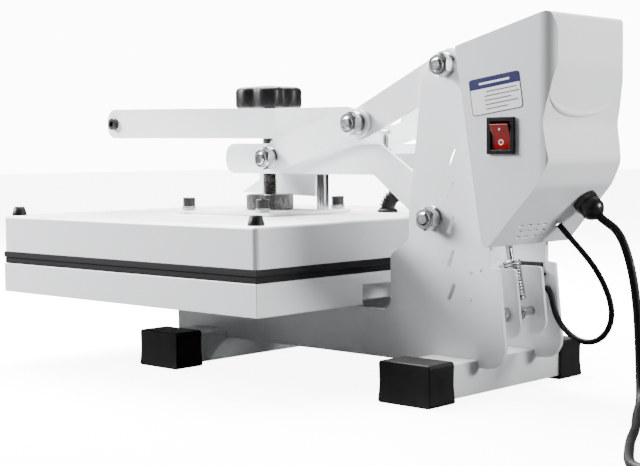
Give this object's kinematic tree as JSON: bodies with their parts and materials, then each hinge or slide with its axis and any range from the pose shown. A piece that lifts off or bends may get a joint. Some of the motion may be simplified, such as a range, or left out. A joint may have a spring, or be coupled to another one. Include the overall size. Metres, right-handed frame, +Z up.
{
  "type": "heat press",
  "caption": "Clamshell heat press: square heated platen on a toggle arm over a padded lower platen, with a handle, pressure knob and control box.",
  "frame": {"origin": "middle of the press's footprint box on the surface that it stands on, the mains cord apart", "axes": "+Z up, +Y from the operator to the control box, +X to the operator's right"},
  "size_m": [0.482, 0.873, 0.3288],
  "materials": {
    "white_paint": "smooth semi-gloss powder coat",
    "foot_rubber": "moulded rubber cap",
    "silicone": "matt silicone sheet",
    "zinc_steel": "bright zinc plate",
    "rod_chrome": "polished chrome",
    "turned_steel": "turned, lightly brushed",
    "screw_steel": "oiled rolled thread",
    "plate_coating": "black non-stick coating",
    "element_metal": "drawn sheath",
    "board_wool": "pressed fibre board",
    "knob_plastic": "moulded, fine texture",
    "grip_foam": "closed-cell foam",
    "panel_film": "printed film over a display",
    "button_plastic": "moulded caps",
    "bezel_plastic": "moulded black",
    "rocker_plastic": "translucent red",
    "circuit_board": "solder mask",
    "cable_rubber": "black sheath"
  },
  "bodies": {
    "frame": {"crossbar_front": "white_paint", "crossbar_rear": "white_paint", "foot_front_right": "foot_rubber", "foot_front_left": "foot_rubber", "foot_rear_right": "foot_rubber", "foot_rear_left": "foot_rubber", "tower_plate_right": "white_paint", "tower_plate_left": "white_paint", "tower_front_web": "white_paint", "platen_bracket": "white_paint", "lower_platen": "white_paint", "silicone_pad": "silicone", "arm_pivot_bolt": "zinc_steel", "link_pivot_bolt": "zinc_steel", "spring_bracket": "white_paint", "spring_anchor_bolt": "zinc_steel", "control_box_shell": "white_paint", "control_box_front": "white_paint", "control_board": "circuit_board", "solid_state_relay": "bezel_plastic", "display_panel": "panel_film", "rocker_bezel": "bezel_plastic", "cable_gland": "bezel_plastic", "limit_switch": "bezel_plastic", "sensor_cable": "cable_rubber", "power_cord": "cable_rubber", "cord_coil": "cable_rubber", "mains_plug": "bezel_plastic"},
    "arm": {"arm_plate_right": "white_paint", "arm_plate_left": "white_paint", "arm_core": "white_paint", "stop_screw": "zinc_steel", "handle_stud_right": "zinc_steel", "handle_stud_left": "zinc_steel", "arm_spring_lever": "zinc_steel"},
    "platen": {"upper_cover": "white_paint", "heat_plate": "plate_coating", "heating_element": "element_metal", "insulation_board": "board_wool", "mounting_plate": "white_paint", "lead_boot": "knob_plastic", "guide_rod": "rod_chrome", "screw_socket": "turned_steel"},
    "knob": {"pressure_screw": "screw_steel", "pressure_knob": "knob_plastic"},
    "handle": {"handle_plate_right": "white_paint", "handle_plate_left": "white_paint", "handle_bar": "zinc_steel", "handle_grip": "grip_foam", "toggle_stud_right": "zinc_steel", "toggle_stud_left": "zinc_steel"},
    "link": {"toggle_link": "white_paint"},
    "spring": {"return_spring": "zinc_steel"},
    "spring_end": {"spring_hook": "zinc_steel"},
    "button_1": {"panel_button_1": "button_plastic"},
    "button_2": {"panel_button_2": "button_plastic"},
    "button_3": {"panel_button_3": "button_plastic"},
    "button_4": {"panel_button_4": "button_plastic"},
    "rocker": {"power_rocker": "rocker_plastic"}
  },
  "joints": [
    {"name": "arm_lift", "type": "hinge", "parent": "frame", "child": "arm", "pos_m": [0, 0.1615, 0.1558], "axis": [-1, 0, 0], "range_deg": [0, 26]},
    {"name": "handle_swing", "type": "hinge", "parent": "arm", "child": "handle", "pos_m": [0, -0.044, 0.21], "axis": [-1, 0, 0], "range_deg": [0, 31.85]},
    {"name": "link_swing", "type": "hinge", "parent": "frame", "child": "link", "pos_m": [0, 0.177, 0.2906], "axis": [1, 0, 0], "range_deg": [0, 16.27]},
    {"name": "spring_swing", "type": "hinge", "parent": "frame", "child": "spring", "pos_m": [0, 0.222, 0.072], "axis": [1, 0, 0], "range_deg": [0, 5.98]},
    {"name": "spring_slide", "type": "slide", "parent": "spring", "child": "spring_end", "axis": [0, 0.1833, -0.9831], "range_m": [0, 0.01834]},
    {"name": "platen_slide", "type": "slide", "parent": "arm", "child": "platen", "axis": [0, 0, 1], "range_m": [0, 0.006]},
    {"name": "knob_turn", "type": "hinge", "parent": "platen", "child": "knob", "pos_m": [0, -0.0916, 0.27], "axis": [0, 0, 1], "range_deg": [0, 1080]},
    {"name": "button_1_press", "type": "slide", "parent": "frame", "child": "button_1", "axis": [0, 0.2649, -0.9643], "range_m": [0, 0.0015], "stiffness_N_per_m": 400},
    {"name": "button_2_press", "type": "slide", "parent": "frame", "child": "button_2", "axis": [0, 0.2649, -0.9643], "range_m": [0, 0.0015], "stiffness_N_per_m": 400},
    {"name": "button_3_press", "type": "slide", "parent": "frame", "child": "button_3", "axis": [0, 0.2649, -0.9643], "range_m": [0, 0.0015], "stiffness_N_per_m": 400},
    {"name": "button_4_press", "type": "slide", "parent": "frame", "child": "button_4", "axis": [0, 0.2649, -0.9643], "range_m": [0, 0.0015], "stiffness_N_per_m": 400},
    {"name": "rocker_tilt", "type": "hinge", "parent": "frame", "child": "rocker", "pos_m": [0.05931, 0.24737, 0.228], "axis": [0.0653, -0.9979, 0], "range_deg": [0, 22]}
  ],
  "couplings": [
    {"joint": "handle_swing", "follows": "arm_lift", "ratio": 1.225},
    {"joint": "link_swing", "follows": "arm_lift", "ratio": 0.62539},
    {"joint": "spring_swing", "follows": "arm_lift", "ratio": 0.22988},
    {"joint": "spring_slide", "follows": "arm_lift", "m_per_rad": 0.040407},
    {"joint": "knob_turn", "follows": "platen_slide", "rad_per_m": 3141.6}
  ]
}
